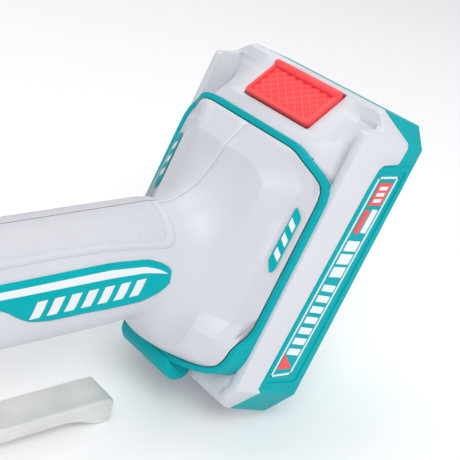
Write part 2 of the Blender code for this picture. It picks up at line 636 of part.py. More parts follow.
DIE_AXIS = (RAM_X, 0, -70.0)
holder_profile = [(9.6, -79.4), (9.6, -64.4), (12.0, -64.4), (12.0, -60.8), (6.5, -60.8), (6.5, -70.2),
                  (3.2, -70.2), (3.2, -79.4)]
holder = finish(turned_mesh(holder_profile, "Z", (RAM_X, 0, 0), 28), "die_holder", "steel", TOOL, DIE_AXIS)
cut(holder, box_mesh((RAM_X - 14, -12, DIE_TOP), (RAM_X + 4.6, 12, DIE_TOP + THROAT)), "throat", TOOL)
cut(holder, tube_mesh(12.0, 7.6, -85.0, DIE_TOP - 0.9, "Z", (RAM_X, 0, 0), 28), "die_seat", TOOL)
die_profile = [
    (9.4, FLOOR), (9.4, DIE_TOP - 1.3), (7.9, DIE_TOP - 1.3), (7.9, -79.8), (3.3, -79.8), (3.3, FLOOR),
]
finish(turned_mesh(die_profile, "Z", (RAM_X, 0, 0), 28), "die", "steel", TOOL, DIE_AXIS)
collar_profile = [(12.6, -68.4), (15.4, -66.6), (15.4, -60.2), (14.2, -58.6), (12.3, -58.6), (12.3, -64.8),
                  (9.9, -64.8), (9.9, -68.4)]
finish(turned_mesh(collar_profile, "Z", (RAM_X, 0, 0), 24), "lock_collar", "steel", TOOL)

# ---- gear head ----
HEAD_RADIUS = 18.0
head_profile = [(0, -58.2), (14.0, -58.2), (14.6, -56.0), (14.6, -30.0), (HEAD_RADIUS, -24.0),
                (HEAD_RADIUS, 13.0), (15.5, 18.0), (9.0, 20.0), (0, 20.0)]
head = finish(turned_mesh(head_profile, "Z", (RAM_X, 0, 0), 32), "gear_head", "cast_aluminium", TOOL)
SHOULDER_SECTIONS = (
    (BARREL_FRONT - GAP, 5.6, -45.6, 25.2), (-219.0, 7.4, -44.0, 24.0),
    (-228.0, 12.6, -38.0, 18.6), (-238.0, 15.0, -30.0, 15.0),
)
head_rings = []
for x, top, bottom, half_width in SHOULDER_SECTIONS:
    half = oval_half_outline(top, bottom, half_width, 2.4)
    ring = half + [(z, -y) for z, y in reversed(half[1:-1])]
    head_rings.append([(x, y, z) for z, y in ring])
join(head, loft_mesh(head_rings), "head_shoulder", TOOL)
join(head, box_mesh((-232.0, -9.0, -53.0), (-214.6, 9.0, -36.0), 1.0), "guard_boss", TOOL)
join(head, box_mesh((-217.0, -8.6, -52.9), (-206.5, 8.6, -47.4), 0.8), "guard_pad", TOOL)
cut(head, rod_mesh(16.2, -232.9, -222.0, "X", (0, 0, GEAR_Z), 28), "gear_chamber", TOOL)
cut(head, rod_mesh(9.4, -235.0, -232.0, "X", (0, 0, GEAR_Z), 24), "disc_chamber", TOOL)
cut(head, rod_mesh(9.8, -223.0, -200.0, "X", (0, 0, GEAR_Z), 24), "gear_bearing_seat", TOOL)
cut(head, rod_mesh(8.3, -233.0, -200.0, "X", (0, 0, AXIS_Z), 24), "pinion_chamber", TOOL)
cut(head, box_mesh((-262.0, -13.2, -22.6), (RAM_X + 6.4, 13.2, 17.2)), "yoke_chamber", TOOL)
cut(head, rod_mesh(10.3, -60.0, -30.2, "Z", (RAM_X, 0, 0), 28), "bush_seat", TOOL)
cut(head, rod_mesh(6.6, -35.0, -20.0, "Z", (RAM_X, 0, 0), 24), "ram_way", TOOL)

cover_outline = [(-16.4, -21.0), (-13.4, -24.6), (13.4, -24.6), (16.4, -21.0), (16.4, 12.0), (12.0, 16.4),
                 (-12.0, 16.4), (-16.4, 12.0)]
cover = finish(extrude_mesh(cover_outline, NOSE, -253.4, "YZ", 1.2), "head_cover", "cast_aluminium", TOOL)
cut(cover, rod_mesh(HEAD_RADIUS + GAP, -60.0, 30.0, "Z", (RAM_X, 0, 0), 32), "cover_seat", TOOL)

# ---- trigger, lock-off button and switch ----
TRIGGER_AXIS = (-143.0, 0, -37.6)
trigger_outline = [(-146.0, -37.0), (-118.0, -37.0), (-118.0, -41.0), (-121.0, -47.4), (-126.0, -49.6),
                   (-138.0, -49.0), (-143.0, -45.0), (-146.4, -40.6)]
finish(extrude_mesh(trigger_outline, -6.4, 6.4, "XZ", 1.0), "trigger", "red_plastic", TOOL, TRIGGER_AXIS)
finish(box_mesh((-139.0, -6.0, -29.0), (-112.0, 6.0, -13.0), 0.8), "switch_body", "dark_plastic", TOOL)
finish(helix_mesh(1.9, 0.45, 6.3, 4, (-124.0, 0, -36.2)), "trigger_spring", "steel", TOOL, TRIGGER_AXIS)
lock_rod = rod_mesh(4.0, -18.6, 18.6, "Y", LOCK_AXIS, 20, 0.5)
finish(lock_rod, "lock_off_button", "dark_plastic", TOOL, LOCK_AXIS)

# ---- hand guard ----
GUARD_HALF_WIDTH = 7.5
guard_outline = [
    (-45.6, -73.0), (-47.2, -71.3), (-188.0, -71.3), (-196.5, -69.4), (-202.6, -64.4), (-205.6, -57.4),
    (-207.0, -53.3), (-225.8, -53.3), (-225.8, -57.6), (-216.0, -60.6), (-211.5, -64.6), (-206.5, -71.0),
    (-200.0, -75.8), (-190.0, -77.2), (-64.0, -77.2), (-58.6, -78.4), (-54.0, -80.6), (-50.4, FLOOR),
    (-47.4, FLOOR), (-46.0, -80.0),
]
bar = extrude_mesh(guard_outline, -GUARD_HALF_WIDTH, GUARD_HALF_WIDTH, "XZ", 1.2)
guard = finish(bar, "hand_guard", "cast_aluminium", TOOL)
for index, x in enumerate((-221.8, -211.0)):
    hole = rod_mesh(2.1, -90.0, -46.0, "Z", (x, 0, 0), 16)
    cut(guard, hole, f"guard_hole_{index}", TOOL)
    cut(head, rod_mesh(2.1, -90.0, -48.3, "Z", (x, 0, 0), 16), f"head_hole_{index}", TOOL)
    cut(guard, rod_mesh(3.8, -90.0, -57.0, "Z", (x, 0, 0), 20), f"guard_counterbore_{index}", TOOL)
    profile = [(0, -59.8), (2.9, -59.8), (3.4, -59.2), (3.4, -57.4), (1.8, -57.3), (1.8, -48.7), (0, -48.7)]
    screw = turned_mesh(profile, "Z", (x, 0, 0), 16)
    finish(screw, f"guard_screw_{index + 1}", "steel", TOOL)

# ---- housing screws, work light ----
CASE_SCREWS = ((-206.0, 0.5, 19.0), (-206.0, -40.5, 19.0), (-150.5, -34.0, 12.0), (-48.5, -34.5, 12.0))
for index, (x, z, top) in enumerate(CASE_SCREWS):
    cut(right_housing, rod_mesh(3.4, 5.0, 40.0, "Y", (x, 0, z), 16), f"screw_hole_{index}", TOOL)
    neck = top - 1.8
    profile = [(0, top - 8.0), (1.6, top - 8.0), (1.6, neck), (2.9, neck), (2.9, top), (0, top)]
    finish(turned_mesh(profile, "Y", (x, 0, z), 14), f"housing_screw_{index + 1}", "steel", TOOL)
lens = rod_mesh(3.2, -48.4, -45.2, "Z", (LENS_X, 0, 0), 16, 0.5)
finish(lens, "work_light_lens", "clear_lens", TOOL)
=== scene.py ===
import json
import math

import bmesh
import bpy
from mathutils import Matrix, Vector
from mathutils.bvhtree import BVHTree


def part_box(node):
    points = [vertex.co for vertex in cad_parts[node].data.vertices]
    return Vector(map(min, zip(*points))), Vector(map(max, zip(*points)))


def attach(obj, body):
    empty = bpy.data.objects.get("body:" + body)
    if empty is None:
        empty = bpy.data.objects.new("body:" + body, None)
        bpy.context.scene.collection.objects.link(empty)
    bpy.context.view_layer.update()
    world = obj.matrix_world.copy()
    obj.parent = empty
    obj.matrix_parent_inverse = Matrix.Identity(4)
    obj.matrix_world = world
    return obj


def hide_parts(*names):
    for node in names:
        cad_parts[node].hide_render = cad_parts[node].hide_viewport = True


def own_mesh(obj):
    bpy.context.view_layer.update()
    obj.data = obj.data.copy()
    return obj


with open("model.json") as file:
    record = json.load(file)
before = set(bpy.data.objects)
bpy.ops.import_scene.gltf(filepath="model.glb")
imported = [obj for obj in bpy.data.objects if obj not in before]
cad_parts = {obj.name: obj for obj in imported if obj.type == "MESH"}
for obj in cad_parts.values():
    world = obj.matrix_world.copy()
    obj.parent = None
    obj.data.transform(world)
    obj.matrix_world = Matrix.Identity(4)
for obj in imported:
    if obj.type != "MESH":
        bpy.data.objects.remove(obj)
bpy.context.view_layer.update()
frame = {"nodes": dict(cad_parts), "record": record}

# Lengths are in millimetres of the tool frame (+X back along the grip, +Z up), or of the battery frame
# (x along the pack's rails, z from the pack into the tool), until they become metres of the row frame.
MM = 0.001
SHIFT = (109.4, 0.0, 81.5)  # tool frame to row frame
TILT = math.radians(69.5)
SEAM = 0.15
AXIS_Z = -20.1


def tool(point):
    return Vector((point[0] + SHIFT[0], point[1] + SHIFT[1], point[2] + SHIFT[2])) * MM


def pack(point):
    x, y, z = point
    return tool((x * math.cos(TILT) - z * math.sin(TILT), y, x * math.sin(TILT) + z * math.cos(TILT)))


def smooth(value, start, end):
    share = max(0.0, min(1.0, (value - start) / (end - start)))
    return share * share * (3 - 2 * share)


def between(value, table):
    """Linear interpolation in rows of (key, value, value, ...)."""
    if value <= table[0][0]:
        return list(table[0][1:])
    for first, second in zip(table, table[1:]):
        if value <= second[0]:
            share = (value - first[0]) / (second[0] - first[0])
            return [a + (b - a) * share for a, b in zip(first[1:], second[1:])]
    return list(table[-1][1:])


# ---- materials ----
def nodes_of(material):
    material.use_nodes = True
    tree = material.node_tree
    return tree, tree.nodes["Principled BSDF"]


def surface(name, colour, roughness, metallic=0.0, grain=0.0, grain_scale=5200.0, mottle=0.04, edge_highlight=0.25,
            brushed=None, coat=0.0, weave=0.0, shine=0.5):
    """A moulded or machined finish: fine grain, slight mottling, and convex edges painted lighter as a
    highlight.
    """
    material = bpy.data.materials.new(name)
    tree, shader = nodes_of(material)
    new, link = tree.nodes.new, tree.links.new
    place = new("ShaderNodeTexCoord").outputs["Object"]
    if brushed:
        mapping = new("ShaderNodeMapping")
        mapping.inputs["Scale"].default_value = brushed
        link(place, mapping.inputs["Vector"])
        place = mapping.outputs["Vector"]
    fine = new("ShaderNodeTexNoise")
    fine.inputs["Scale"].default_value = grain_scale
    fine.inputs["Detail"].default_value = 2.0
    link(place, fine.inputs["Vector"])
    broad = new("ShaderNodeTexNoise")
    broad.inputs["Scale"].default_value = 60.0
    broad.inputs["Detail"].default_value = 4.0
    link(place, broad.inputs["Vector"])

    dark = [channel * (1 - mottle) for channel in colour]
    light = [min(1.0, channel * (1 + mottle * 0.6) + 0.002) for channel in colour]
    ramp = new("ShaderNodeValToRGB")
    ramp.color_ramp.elements[0].position, ramp.color_ramp.elements[1].position = 0.3, 0.7
    ramp.color_ramp.elements[0].color = (*dark, 1)
    ramp.color_ramp.elements[1].color = (*light, 1)
    link(broad.outputs["Fac"], ramp.inputs["Fac"])
    # Painted highlight: convex edges, found by their pointiness, are mixed towards a lighter colour as if
    # they caught the light.
    edges = new("ShaderNodeNewGeometry").outputs["Pointiness"]
    edge_ramp = new("ShaderNodeValToRGB")
    edge_ramp.color_ramp.elements[0].position, edge_ramp.color_ramp.elements[1].position = 0.52, 0.6
    link(edges, edge_ramp.inputs["Fac"])
    amount = new("ShaderNodeMath")
    amount.operation = "MULTIPLY"
    amount.inputs[1].default_value = edge_highlight
    link(edge_ramp.outputs["Color"], amount.inputs[0])
    edge_highlighted = new("ShaderNodeMix")
    edge_highlighted.data_type = "RGBA"
    link(amount.outputs["Value"], edge_highlighted.inputs["Factor"])
    link(ramp.outputs["Color"], edge_highlighted.inputs["A"])
    edge_highlighted.inputs["B"].default_value = (*[min(1.0, channel * 1.15 + 0.06) for channel in colour], 1)
    link(edge_highlighted.outputs["Result"], shader.inputs["Base Color"])

    spread = new("ShaderNodeMapRange")
    spread.inputs["To Min"].default_value = max(0.05, roughness - 0.06)
    spread.inputs["To Max"].default_value = min(1.0, roughness + 0.06)
    link(fine.outputs["Fac"], spread.inputs["Value"])
    link(spread.outputs["Result"], shader.inputs["Roughness"])
    shader.inputs["Metallic"].default_value = metallic
    shader.inputs["Coat Weight"].default_value = coat
    shader.inputs["Specular IOR Level"].default_value = shine
    height = fine.outputs["Fac"]
    if weave:
        height = woven(tree, weave, fine.outputs["Fac"])
    if grain:
        bump = new("ShaderNodeBump")
        bump.inputs["Strength"].default_value = grain
        bump.inputs["Distance"].default_value = 0.0002
        link(height, bump.inputs["Height"])
        link(bump.outputs["Normal"], shader.inputs["Normal"])
    return material


def woven(tree, pitch, grain):
    """Fine raised diamonds on a soft grip, in UV millimetres."""
    new, link = tree.nodes.new, tree.links.new
    uv = new("ShaderNodeTexCoord").outputs["UV"]
    heights = []
    for turn in (45, -45):
        mapping = new("ShaderNodeMapping")
        mapping.inputs["Rotation"].default_value = (0, 0, math.radians(turn))
        link(uv, mapping.inputs["Vector"])
        wave = new("ShaderNodeTexWave")
        wave.inputs["Scale"].default_value = math.pi / 10 / pitch
        link(mapping.outputs["Vector"], wave.inputs["Vector"])
        heights.append(wave.outputs["Fac"])
    crossed = new("ShaderNodeMath")
    crossed.operation = "MULTIPLY"
    link(heights[0], crossed.inputs[0])
    link(heights[1], crossed.inputs[1])
    total = new("ShaderNodeMath")
    total.operation = "MULTIPLY_ADD"
    link(crossed.outputs["Value"], total.inputs[0])
    total.inputs[1].default_value = 2.2
    link(grain, total.inputs[2])
    return total.outputs["Value"]


WHITE = (0.60, 0.61, 0.65)
TEAL = (0.0, 0.38, 0.415)
MATERIALS = {
    "white_plastic": surface("white_plastic", WHITE, 0.40, grain=0.16, mottle=0.02, edge_highlight=0.3),
    "soft_white": surface("soft_white", (0.595, 0.605, 0.64), 0.62, grain=0.38, weave=0.75,
                          mottle=0.02, shine=0.3),
    "soft_border": surface("soft_border", (0.60, 0.61, 0.65), 0.58, grain=0.15, mottle=0.02, shine=0.3),
    "teal_plastic": surface("teal_plastic", TEAL, 0.42, grain=0.18, mottle=0.05, edge_highlight=0.06, shine=0.06),
    "red_plastic": surface("red_plastic", (0.98, 0.075, 0.08), 0.38, grain=0.12, mottle=0.04,
                           edge_highlight=0.15, shine=0.3),
    # Painted highlight: a lighter copy of the button's red, for the grid's ridges.
    "lit_grid_red": surface("lit_grid_red", (1.0, 0.13, 0.12), 0.42, grain=0.12, mottle=0.04, edge_highlight=0.1, shine=0.2),
    # Painted shade: a darker copy of the button's red, for the grid floor that shows in the pits.
    "shaded_red": surface("shaded_red", (0.95, 0.045, 0.06), 0.45, grain=0.15, shine=0.2),
    "print_white": surface("print_white", (0.74, 0.77, 0.79), 0.45, grain=0.08, mottle=0.02),
    "print_red": surface("print_red", (0.80, 0.05, 0.05), 0.4, grain=0.08),
    "cast_aluminium": surface("cast_aluminium", (0.74, 0.75, 0.73), 0.5, metallic=0.6, grain=0.7,
                              grain_scale=2400.0, mottle=0.12),
    "steel": surface("steel", (0.50, 0.50, 0.51), 0.28, metallic=1.0, grain=0.25, mottle=0.1,
                     brushed=(1.0, 1.0, 0.12)),
    "dark_plastic": surface("dark_plastic", (0.028, 0.03, 0.034), 0.5, grain=0.4, mottle=0.2),
    "copper": surface("copper", (0.72, 0.33, 0.16), 0.35, metallic=1.0, grain=0.5, brushed=(1.0, 0.1, 0.1)),
    "brass": surface("brass", (0.75, 0.58, 0.25), 0.32, metallic=1.0, grain=0.2, mottle=0.1),
    "board_green": surface("board_green", (0.02, 0.18, 0.08), 0.4, grain=0.3, mottle=0.3),
    "cell_wrap": surface("cell_wrap", (0.05, 0.20, 0.45), 0.35, grain=0.15, mottle=0.1),
    "clear_lens": surface("clear_lens", (0.85, 0.88, 0.9), 0.1, grain=0.05),
}


def piece(bm, name, material, body, replaced=(), flat=False, angle=32):
    """Turns a bmesh in row-frame metres into a shown piece that rides on a body."""
    bmesh.ops.remove_doubles(bm, verts=bm.verts, dist=0.000002)
    bmesh.ops.recalc_face_normals(bm, faces=bm.faces)
    mesh = bpy.data.meshes.new(name)
    bm.to_mesh(mesh)
    bm.free()
    obj = bpy.data.objects.new(name, mesh)
    bpy.context.scene.collection.objects.link(obj)
    mesh.materials.append(MATERIALS[material])
    if not flat:
        mesh.shade_smooth()
        mesh.set_sharp_from_angle(angle=math.radians(angle))
    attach(obj, body)
    if replaced:
        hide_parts(*replaced)
    return obj


def skin(bm, rows, closed=False, caps=False):
    """Joins rows of points with quads; closed rows wrap round, and caps fill the first and last."""
    made = [[bm.verts.new(point) for point in row] for row in rows]
    count = len(rows[0])
    for first, second in zip(made, made[1:]):
        for step in range(count if closed else count - 1):
            after = (step + 1) % count
            bm.faces.new((first[step], first[after], second[after], second[step]))
    if caps:
        bm.faces.new(made[0])
        bm.faces.new(made[-1])


def catmull(a, b, c, d, share):
    """A point between b and c on the smooth curve through a, b, c and d."""
    return 0.5 * ((2 * b) + (c - a) * share + (2 * a - 5 * b + 4 * c - d) * share**2
                  + (3 * b - a - 3 * c + d) * share**3)


def refine(rows, steps, creases=()):
    """More rows between key rows, smooth except at and after the crease rows, which stay straight."""
    result = []
    last = len(rows) - 1
    for index in range(last):
        straight = any(index >= crease for crease in creases)
        before = rows[max(index - 1, 0)]
        after = rows[index + 1] if index + 1 in creases else rows[min(index + 2, last)]
        shares = (0, 0.07, 0.5, 0.93) if straight else [step / steps for step in range(steps)]
        for share in shares:
            if straight:
                result.append([p + (q - p) * share for p, q in zip(rows[index], rows[index + 1])])
            else:
                result.append([catmull(a, b, c, d, share)
                               for a, b, c, d in zip(before, rows[index], rows[index + 1], after)])
    result.append(rows[last])
    return result


def block(low, high, place, bevel=0.0, segments=3):
    """A box with rounded edges."""
    bm = bmesh.new()
    bmesh.ops.create_cube(bm, size=1.0)
    low, high = Vector(low), Vector(high)
    for vert in bm.verts:
        vert.co = Vector([(a + b) / 2 + c * (b - a) for a, b, c in zip(low, high, vert.co)])
    if bevel:
        bmesh.ops.bevel(bm, geom=bm.edges[:], offset=bevel, segments=segments, affect="EDGES", profile=0.5)
    for vert in bm.verts:
        vert.co = place(vert.co)
    return bm


def prism(outline, low, high, lift, place, bevel=0.0, segments=2):
    """A flat outline given thickness along the axis that lift adds: lift(a, b, depth) gives a point."""
    bm = bmesh.new()
    bottom = [bm.verts.new(lift(a, b, low)) for a, b in outline]
    top = [bm.verts.new(lift(a, b, high)) for a, b in outline]
    count = len(outline)
    for step in range(count):
        after = (step + 1) % count
        bm.faces.new((bottom[step], bottom[after], top[after], top[step]))
    bm.faces.new(bottom)
    bm.faces.new(top)
    bmesh.ops.recalc_face_normals(bm, faces=bm.faces)
    if bevel:
        rim = [edge for edge in bm.edges if edge.calc_face_angle(0) > math.radians(60)]
        bmesh.ops.bevel(bm, geom=rim, offset=bevel, segments=segments, affect="EDGES", profile=0.5)
    for vert in bm.verts:
        vert.co = place(vert.co)
    return bm


def on_side(side):
    """For prism: an outline in side view, as (x, z), that gets its thickness towards one side."""
    def lift(a, b, depth):
        return Vector((a, side * depth, b))
    return lift


def flat_spot(a, b, depth):
    """For prism: an outline in plan, as (x, y), that gets its thickness along z."""
    return Vector((a, b, depth))


def rounded(corners, radius, steps=4):
    """A polygon with its corners rounded."""
    points = []
    count = len(corners)
    for index, corner in enumerate(corners):
        here = Vector(corner)
        before = Vector(corners[index - 1])
        after = Vector(corners[(index + 1) % count])
        reach = min(radius, (before - here).length * 0.45, (after - here).length * 0.45)
        start = here + (before - here).normalized() * reach
        end = here + (after - here).normalized() * reach
        for step in range(steps + 1):
            share = step / steps
            point = start * (1 - share) ** 2 + here * 2 * share * (1 - share) + end * share**2
            points.append((point.x, point.y))
    return points


# ---- housing ----
GRIP_SECTIONS = (
    # x, top, bottom, half-width
    (-213.9, 5.9, -45.9, 25.4), (-209.0, 6.4, -46.4, 25.9), (-196.0, 6.5, -46.5, 25.9),
    (-168.0, 5.9, -45.9, 25.5), (-157.0, 2.9, -44.0, 21.0), (-146.0, 0.2, -41.5, 15.9),
    (-128.0, -0.6, -40.3, 15.1), (-90.0, -0.9, -41.5, 14.6), (-55.0, -1.0, -41.7, 14.3),
)
GRIP_SQUARENESS = 2.25
SHELL_THICKNESS = 2.4
NECK_SECTIONS = (
    # height above the seat, trailing x, leading x, half-width, squareness, trailing lift, leading lift
    (30.0, -12.4, -55.2, 14.6, 2.2, 0.0, 0.0),
    (24.5, -8.8, -55.0, 15.3, 2.2, 0.0, 0.0),
    (20.0, -3.4, -57.2, 17.0, 2.4, 0.0, 0.0),
    (16.8, 4.5, -59.2, 19.4, 2.8, 0.3, 0.4),
)
# height, trailing x, half-width of the straight trailing edge, chamfer start x, half-width, side end x,
# half-width of the leading edge, leading x, leading bow, trailing lift, leading lift
FOOT_SECTIONS = (
    (14.0, 12.6, 14.0, 8.0, 22.4, -46.0, 15.0, -57.8, 2.8, 1.4, 1.6),
    (6.5, 20.9, 21.4, 12.8, 29.9, -46.0, 21.5, -57.4, 4.4, 4.6, 5.3),
    (3.12, 22.15, 24.35, 14.9, 36.25, -43.7, 28.0, -56.45, 5.45, 6.8, 5.7),
)
HALF_STEPS = (9, 6, 16, 9, 10)  # points along the trailing edge, chamfer, side, corner and leading edge
CORNER_ANGLES = (0, 34, 58, 118, 152, 180)
CORNER_RISE = (37.0, 46.5)  # how far forward of the origin the foot's edge rises towards the leading corner


def ring_angles():
    """Angles round half an oval, spaced so that its points meet those of the foot's outline."""
    angles = []
    for start, end, count in zip(CORNER_ANGLES, CORNER_ANGLES[1:], HALF_STEPS):
        angles += [start + (end - start) * step / count for step in range(count)]
    return angles + [180.0]


def oval(high, low, half_width, squareness):
    """Half of a rounded section, from its high end to its low end, as (height, width)."""
    middle, half = (high + low) / 2, (high - low) / 2
    points = []
    for angle in ring_angles():
        c, s = math.cos(math.radians(angle)), math.sin(math.radians(angle))
        up = math.copysign(abs(c) ** (2 / squareness), c)
        points.append((middle + half * up, half_width * abs(s) ** (2 / squareness)))
    return points


def foot_outline(trailing, trailing_half, chamfer, half, side_end, leading_half, leading, bow,
                 inset=0.0):
    """Half of the foot's outline, from the trailing middle to the leading middle, as (x, y)."""
    corners = [
        (trailing - inset, 0), (trailing - inset, trailing_half - inset * 0.6),
        (chamfer - inset * 0.3, half - inset), (side_end, half - inset),
        (leading + inset, leading_half - inset * 0.6), (leading + inset, 0),
    ]
    points = []
    for index, (start, end, count) in enumerate(zip(corners, corners[1:], HALF_STEPS)):
        for step in range(count):
            share = step / count
            x = start[0] + (end[0] - start[0]) * share
            y = start[1] + (end[1] - start[1]) * share
            if index == 3:
                bulge = 3.2 * math.sin(math.pi * share)
                x, y = x - bulge * 0.55, min(y + bulge * 0.83, half - inset)
            if index == 4:
                x -= bow * (1 - (y / start[1]) ** 2)
            points.append((x, y))
    points.append((corners[-1][0] - bow, 0))
    return soften(points)


def soften(points, passes=2):
    """Rounds an outline's corners a little, with its two ends held."""
    for _ in range(passes):
        points = [points[0]] + [((a[0] + 2 * b[0] + c[0]) / 4, (a[1] + 2 * b[1] + c[1]) / 4)
                                for a, b, c in zip(points, points[1:], points[2:])] + [points[-1]]
    return points


def half_shell(side, inset):
    """The housing's rows of points on one side, front to back."""
    rows = []
    for x, top, bottom, half_width in GRIP_SECTIONS:
        rows.append([tool((x, side * max(y, SEAM), z))
                     for z, y in oval(top - inset, bottom + inset, half_width - inset, GRIP_SQUARENESS)])
    for height, trailing, leading, half_width, squareness, lift, lead_lift in NECK_SECTIONS:
        outline = oval(trailing - inset, leading + inset, half_width - inset, squareness)
        rows.append([
            pack((x, side * max(y, SEAM),
                  height + lift * smooth(x, 2.0, 20.0) + lead_lift * smooth(-x, 34.0, 46.5)))
            for x, y in outline
        ])
    for height, *shape, lift, lead_lift in FOOT_SECTIONS:
        outline = foot_outline(*shape, inset=inset)
        trailing, chamfer = shape[0], shape[2]
        rows.append([
            pack((x, side * max(y, SEAM),
                  height + lift * smooth(x, chamfer, trailing) + lead_lift * smooth(-x, *CORNER_RISE)))
            for x, y in outline
        ])
    first_foot = len(GRIP_SECTIONS) + len(NECK_SECTIONS)
    return refine(rows, 5, creases=(first_foot, first_foot + 1))


CASE_SCREWS = ((-206.0, 0.5), (-206.0, -40.5), (-150.5, -34.0), (-48.5, -34.5))  # (x, z)


def housing(name, side):
    """One housing half as a shell with its vents and holes; only the right half takes the case screws."""
    outer = half_shell(side, 0.0)
    inner = half_shell(side, SHELL_THICKNESS)
    bm = bmesh.new()
    rows = [out + list(reversed(into)) for out, into in zip(outer, inner)]
    skin(bm, rows, closed=True, caps=True)
    shell = piece(bm, name + "_shell", "white_plastic", "tool", (name,), angle=15)
    low, high = sorted((side * 18.0, side * 34.0))
    for row in range(4):
        x = -176.0 - row * 6.0
        vent = block((x - 1.3, low, -30.0), (x + 1.3, high, -8.0), tool, 0.9, 2)
        carve(shell, vent, f"{name}_vent_{row}")
    carve(shell, block((-148.0, -7.0, -50.0), (-115.0, 7.0, -34.0), tool, 1.2), name + "_trigger_slot")
    carve(shell, disc((-149.5, side * 20.0, AXIS_Z), 4.4, 30.0, (0, 1, 0)), name + "_lock_hole")
    carve(shell, disc((-200.5, 0, -50.0), 3.6, 20.0, (0, 0, 1)), name + "_lens_hole")
    if side > 0:
        for index, (x, z) in enumerate(CASE_SCREWS):
            carve(shell, disc((x, 22.0, z), 3.4, 34.0, (0, 1, 0)), f"screw_hole_{index}")
    soften_edges(shell, 0.45, angle=12)
    return shell


def disc(centre, radius, length, axis, place=tool, steps=32, bevel=0.0):
    """A cylinder along an axis."""
    bm = bmesh.new()
    bmesh.ops.create_cone(bm, cap_ends=True, segments=steps, radius1=radius, radius2=radius, depth=length)
    if bevel:
        rims = [edge for edge in bm.edges if abs(edge.verts[0].co.z - edge.verts[1].co.z) < 0.001]
        bmesh.ops.bevel(bm, geom=rims, offset=bevel, segments=2, affect="EDGES", profile=0.5)
    turn = Vector((0, 0, 1)).rotation_difference(Vector(axis)).to_matrix().to_4x4()
    bmesh.ops.transform(bm, matrix=Matrix.Translation(centre) @ turn, verts=bm.verts)
    for vert in bm.verts:
        vert.co = place(vert.co)
    return bm


def carve(obj, bm, name):
    """Cuts a shape out of a piece for good."""
    bmesh.ops.recalc_face_normals(bm, faces=bm.faces)
    mesh = bpy.data.meshes.new(name)
    bm.to_mesh(mesh)
    bm.free()
    cutter = bpy.data.objects.new(name, mesh)
    bpy.context.scene.collection.objects.link(cutter)
    modifier = obj.modifiers.new(name, "BOOLEAN")
    modifier.object = cutter
    modifier.solver = "EXACT"
    bpy.context.view_layer.update()
    made = bpy.data.meshes.new_from_object(obj.evaluated_get(bpy.context.evaluated_depsgraph_get()))
    obj.modifiers.clear()
    obj.data = made
    bpy.data.objects.remove(cutter, do_unlink=True)


def soften_edges(obj, width, segments=2, angle=24):
    """Rounds the sharp edges for good, so that they catch the light."""
    bevel = obj.modifiers.new("round", "BEVEL")
    bevel.width = width * MM
    bevel.segments = segments
    bevel.limit_method = "ANGLE"
    bevel.angle_limit = math.radians(angle)
    bpy.context.view_layer.update()
    made = bpy.data.meshes.new_from_object(obj.evaluated_get(bpy.context.evaluated_depsgraph_get()))
    obj.modifiers.clear()
    obj.data = made
    made.shade_smooth()
    made.set_sharp_from_angle(angle=math.radians(40))


left_shell = housing("left_housing", -1)
housing("right_housing", 1)


# ---- grip panels and badges ----
def grip_spot(x, angle, lift):
    """A point on the grip's skin; the angle runs from the top (0) down the side to the bottom (180)."""
    top, bottom, half_width = between(x, GRIP_SECTIONS)
    middle, half = (top + bottom) / 2, (top - bottom) / 2
    c, s = math.cos(math.radians(angle)), math.sin(math.radians(angle))
    power = 2 / GRIP_SQUARENESS
    out, up = abs(s) ** power, math.copysign(abs(c) ** power, c)
    return (x, (half_width + lift) * out, middle + (half + lift) * up)


CAMERA_PLACE = tool((-230.2, -246.1, 145.7))
NECK_START = -60.0  # forward of here the shell is the plain grip
SHELL_TREE = BVHTree.FromPolygons([vert.co.copy() for vert in left_shell.data.vertices],
                                  [tuple(face.vertices) for face in left_shell.data.polygons])


def shell_spot(x, angle, lift):
    """Where a place on the plain grip, seen from the front left, falls on the left shell; lifted off it."""
    plain = tool([value * sign for value, sign in zip(grip_spot(x, angle, 0.0), (1, -1, 1))])
    along = (plain - CAMERA_PLACE).normalized()
    hit = None
    if x > NECK_START and angle > 4.0:
        hit = SHELL_TREE.ray_cast(plain - along * 0.02, along, 0.05)[0]
    place = (hit if hit else plain) / MM - Vector(SHIFT)
    outward = Vector((0, -math.sin(math.radians(angle)), math.cos(math.radians(angle))))
    return place + outward * lift


def grip_patch(name, side, material, columns, low, high, steps=22, replaced=(), uv=False):
    """A patch on the grip, low at its rim and high inside; columns are (x, first angle, last angle)."""
    bm = bmesh.new()
    rows = []
    for index, (x, first, last) in enumerate(columns):
        row = []
        for step in range(steps + 1):
            share = step / steps
            angle = first + (last - first) * share
            from_first = share * steps if first > 0.5 else 9
            near_rim = min(from_first, (1 - share) * steps, index, len(columns) - 1 - index)
            lift = low if near_rim < 0.5 else (high if near_rim > 1.5 else low + (high - low) * 0.8)
            px, py, pz = shell_spot(x, angle, lift)
            row.append(tool((px, side * max(-py, SEAM), pz)))
        rows.append(row)
    skin(bm, rows)
    obj = piece(bm, name, material, "tool", replaced, angle=60)
    if uv:
        layer = obj.data.uv_layers.new(name="UVMap")
        for loop in obj.data.loops:
            place = obj.data.vertices[loop.vertex_index].co / MM
            angle = math.atan2(abs(place.y), place.z - SHIFT[2] - AXIS_Z)
            layer.data[loop.index].uv = (place.x, angle * 17.0)
    return obj


def leaf_columns(places, table):
    return [(x, *between(x, table)) for x in places]


def stations(start, end, count, round_ends=0.5):
    """Places between two ends, closer together towards the ends."""
    places = []
    for step in range(count + 1):
        share = step / count
        eased = (1 - math.cos(math.pi * share)) / 2
        places.append(start + (end - start) * (share * (1 - round_ends) + eased * round_ends))
    return places


